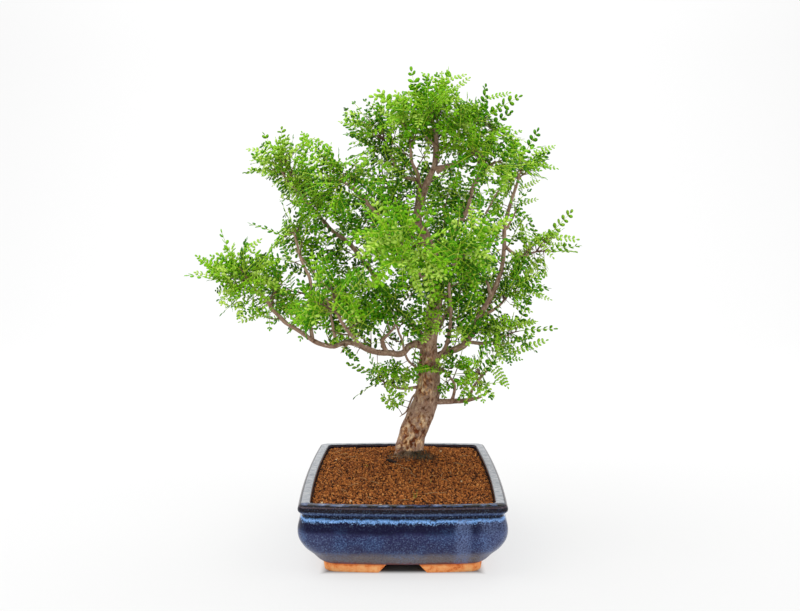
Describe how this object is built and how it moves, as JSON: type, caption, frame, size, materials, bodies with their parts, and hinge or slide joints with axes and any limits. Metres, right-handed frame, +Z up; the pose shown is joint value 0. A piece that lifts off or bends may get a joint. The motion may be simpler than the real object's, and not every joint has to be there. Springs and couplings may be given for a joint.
{
  "type": "zanthoxylum bonsai",
  "caption": "Zanthoxylum bonsai with compound leaves and a bare lower trunk, in a footed rectangular blue-glazed pot filled with granular soil.",
  "frame": {"origin": "centre of the whole plant's footprint, on the surface that the pot's feet stand on", "axes": "+Z up; -Y towards the side that the tree is viewed from, along the pot's long side; +X to that viewer's right"},
  "size_m": [0.6769, 0.5865, 0.7856],
  "materials": {
    "glaze": "gloss",
    "screen_plastic": "matte",
    "soil": "matte",
    "bark": "matte",
    "leaf": "satin",
    "young_leaf": "satin"
  },
  "bodies": {
    "root": {"pot": "glaze", "drain_screen_front": "screen_plastic", "drain_screen_back": "screen_plastic", "soil": "soil", "wood": "bark", "spray_01": "leaf", "spray_02": "leaf", "spray_03": "leaf", "spray_04": "leaf", "spray_05": "leaf", "spray_06": "leaf", "spray_07": "leaf", "spray_08": "leaf", "spray_09": "leaf", "spray_10": "leaf", "spray_11": "leaf", "spray_12": "young_leaf", "spray_13": "young_leaf", "spray_14": "young_leaf", "spray_15": "leaf", "spray_16": "leaf", "spray_17": "leaf", "spray_18": "leaf", "spray_19": "leaf", "spray_20": "leaf", "spray_21": "leaf", "spray_22": "leaf", "spray_23": "young_leaf", "spray_24": "young_leaf", "spray_25": "young_leaf", "spray_26": "young_leaf", "spray_27": "young_leaf", "spray_28": "young_leaf", "spray_29": "leaf", "spray_30": "leaf", "spray_31": "leaf", "spray_32": "leaf", "spray_33": "leaf", "spray_34": "leaf", "spray_35": "young_leaf", "spray_36": "young_leaf", "spray_37": "young_leaf", "spray_38": "leaf", "spray_39": "leaf", "spray_40": "leaf", "spray_41": "leaf", "spray_42": "leaf", "spray_43": "leaf", "spray_44": "leaf", "spray_45": "young_leaf", "spray_46": "young_leaf", "spray_47": "young_leaf", "spray_48": "leaf", "spray_49": "leaf", "spray_50": "leaf", "spray_51": "leaf", "spray_52": "leaf", "spray_53": "leaf", "spray_54": "leaf", "spray_55": "leaf"}
  },
  "joints": []
}
